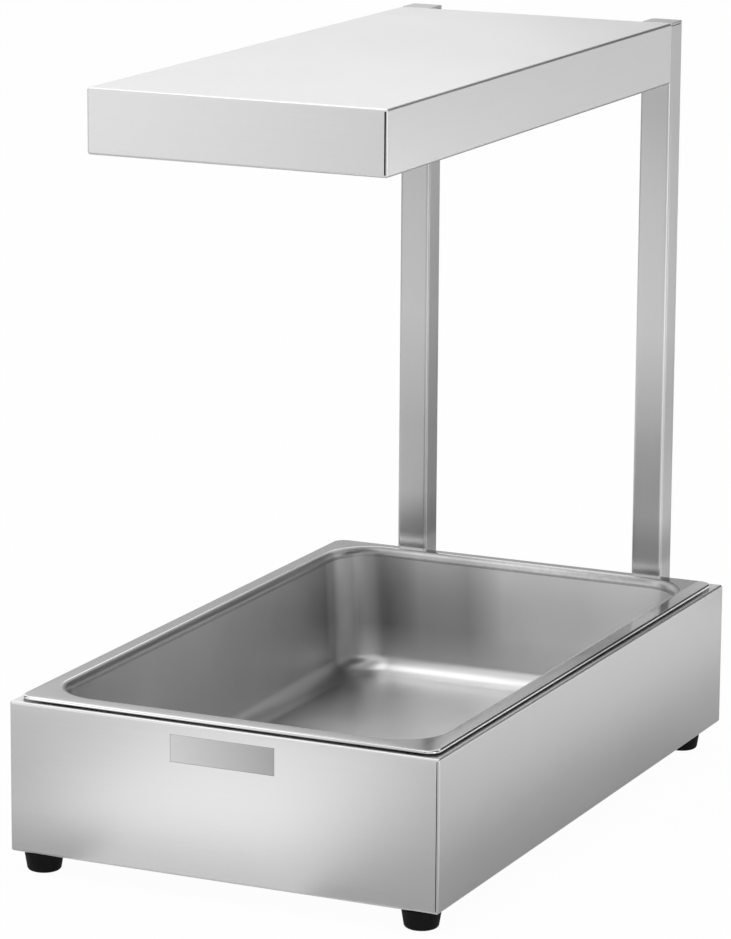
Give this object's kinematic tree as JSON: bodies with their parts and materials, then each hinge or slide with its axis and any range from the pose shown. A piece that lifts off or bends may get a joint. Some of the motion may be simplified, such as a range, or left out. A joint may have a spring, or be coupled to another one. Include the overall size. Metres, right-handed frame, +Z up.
{
  "type": "heat lamp food warmer",
  "caption": "Brushed steel countertop food warmer: boxy base with a lift-out deep food pan, rear tube posts and an overhead heat lamp canopy.",
  "frame": {"origin": "centre of the bounding box on the surface that the feet stand on", "axes": "+Z up, front of the warmer towards -Y with the posts at +Y, width along X"},
  "size_m": [0.334, 0.5662, 0.564],
  "materials": {
    "brushed_steel": "horizontal brushed grain, satin",
    "drawn_steel": "smooth drawn stainless, soft sheen",
    "zinc_steel": "zinc plated",
    "bright_aluminium": "bright rolled sheet",
    "black_rubber": "matte",
    "black_plastic": "fine moulded",
    "white_ceramic": null,
    "terminal_plastic": "moulded",
    "quartz_glass": "clear quartz",
    "coil_wire": "oxidised resistance wire",
    "lead_silicone": "silicone sleeve"
  },
  "bodies": {
    "housing": {"base_shell": "brushed_steel", "canopy_shell": "brushed_steel", "post_left": "brushed_steel", "post_right": "brushed_steel", "post_top_cap_left": "brushed_steel", "post_top_cap_right": "brushed_steel", "bottom_cover": "zinc_steel", "wire_guard": "zinc_steel", "lamp_bracket_front": "zinc_steel", "lamp_bracket_rear": "zinc_steel", "cover_screw_1": "zinc_steel", "cover_screw_2": "zinc_steel", "cover_screw_3": "zinc_steel", "cover_screw_4": "zinc_steel", "bracket_screw_1": "zinc_steel", "bracket_screw_2": "zinc_steel", "bracket_screw_3": "zinc_steel", "bracket_screw_4": "zinc_steel", "foot_screw_front_left": "zinc_steel", "foot_screw_front_right": "zinc_steel", "foot_screw_rear_left": "zinc_steel", "foot_screw_rear_right": "zinc_steel", "base_bolt_1": "zinc_steel", "base_bolt_2": "zinc_steel", "base_bolt_3": "zinc_steel", "base_bolt_4": "zinc_steel", "canopy_bolt_1": "zinc_steel", "canopy_bolt_2": "zinc_steel", "canopy_bolt_3": "zinc_steel", "canopy_bolt_4": "zinc_steel", "reflector": "bright_aluminium", "foot_front_left": "black_rubber", "foot_front_right": "black_rubber", "foot_rear_left": "black_rubber", "foot_rear_right": "black_rubber", "lead_grommet_base": "black_rubber", "lead_grommet_canopy": "black_rubber", "switch_housing": "black_plastic", "cord_gland": "black_plastic", "gland_nut": "black_plastic", "post_foot_cap_left": "black_plastic", "post_foot_cap_right": "black_plastic", "ceramic_front_left": "white_ceramic", "ceramic_front_right": "white_ceramic", "ceramic_rear_left": "white_ceramic", "ceramic_rear_right": "white_ceramic", "terminal_block_base": "terminal_plastic", "terminal_block_canopy": "terminal_plastic", "quartz_tube_left": "quartz_glass", "quartz_tube_right": "quartz_glass", "heating_coil_left": "coil_wire", "heating_coil_right": "coil_wire", "supply_lead": "lead_silicone", "lamp_lead_front_left": "lead_silicone", "lamp_lead_front_right": "lead_silicone", "lamp_lead_rear_left": "lead_silicone", "lamp_lead_rear_right": "lead_silicone"},
    "pan": {"food_pan": "drawn_steel"},
    "rocker": {"switch_rocker": "black_plastic"}
  },
  "joints": [
    {"name": "pan_lift", "type": "slide", "parent": "housing", "child": "pan", "axis": [0, 0, 1], "range_m": [0, 0.12]},
    {"name": "rocker_tilt", "type": "hinge", "parent": "housing", "child": "rocker", "pos_m": [-0.04, 0.25785, 0.059], "axis": [1, 0, 0], "range_deg": [0, 18]}
  ]
}
